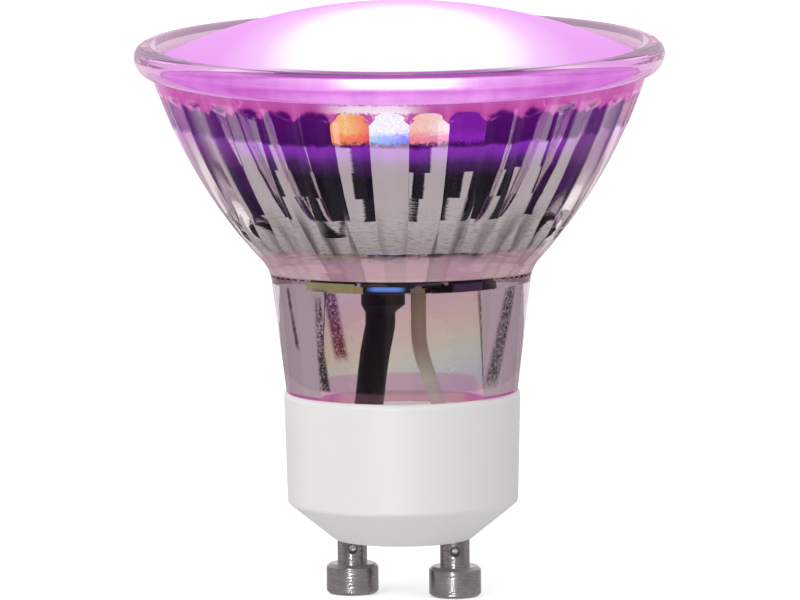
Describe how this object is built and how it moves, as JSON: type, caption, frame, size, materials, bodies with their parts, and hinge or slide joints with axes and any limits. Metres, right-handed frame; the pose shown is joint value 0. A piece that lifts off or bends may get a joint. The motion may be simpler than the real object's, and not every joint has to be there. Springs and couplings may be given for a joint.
{
  "type": "led grow light bulb",
  "caption": "Reflector lamp with a fluted clear glass cup, a domed opal lens lit pink-violet, and a white cap with headed twist-lock contact pins.",
  "frame": {"origin": "centre of the cap's foot, where the contact pins come out", "axes": "+Z along the lamp's axis towards the lens, X through both contact pins"},
  "size_m": [0.05, 0.05, 0.0562],
  "materials": {
    "clear_glass": "clear, fire polished",
    "opal_lens": "opal, lit from behind",
    "silicone": "satin",
    "led_board": "white solder mask",
    "red_led": "lit",
    "blue_led": "lit",
    "white_led": "lit",
    "laminate": "bare edge of the laminate",
    "capacitor_sleeve": "shrink film",
    "tinned_wire": "tinned",
    "choke": "moulded",
    "chip_black": "moulded",
    "chip_ceramic": "ceramic",
    "lead_insulation": "satin",
    "shrink_sleeve": "matt",
    "cap_plastic": "satin, white",
    "cement": "matt",
    "nickel": "brushed nickel plate"
  },
  "bodies": {
    "root": {"glass_cup": "clear_glass", "front_lens": "opal_lens", "lens_adhesive": "silicone", "led_board": "led_board", "board_adhesive": "silicone", "red_leds": "red_led", "blue_leds": "blue_led", "white_leds": "white_led", "driver_board": "laminate", "electrolytic_capacitor": "capacitor_sleeve", "capacitor_leads": "tinned_wire", "choke": "choke", "bridge_rectifier": "chip_black", "driver_ic": "chip_black", "chip_resistors": "chip_black", "chip_capacitors": "chip_ceramic", "solder_joints": "tinned_wire", "led_leads": "lead_insulation", "fuse_resistor": "chip_ceramic", "fuse_sleeve": "shrink_sleeve", "live_lead": "tinned_wire", "neutral_lead": "lead_insulation", "neutral_conductor": "tinned_wire", "base_shell": "cap_plastic", "base_cement": "cement", "neck_plug": "cap_plastic", "contact_pin_left": "nickel", "contact_pin_right": "nickel"}
  },
  "joints": []
}
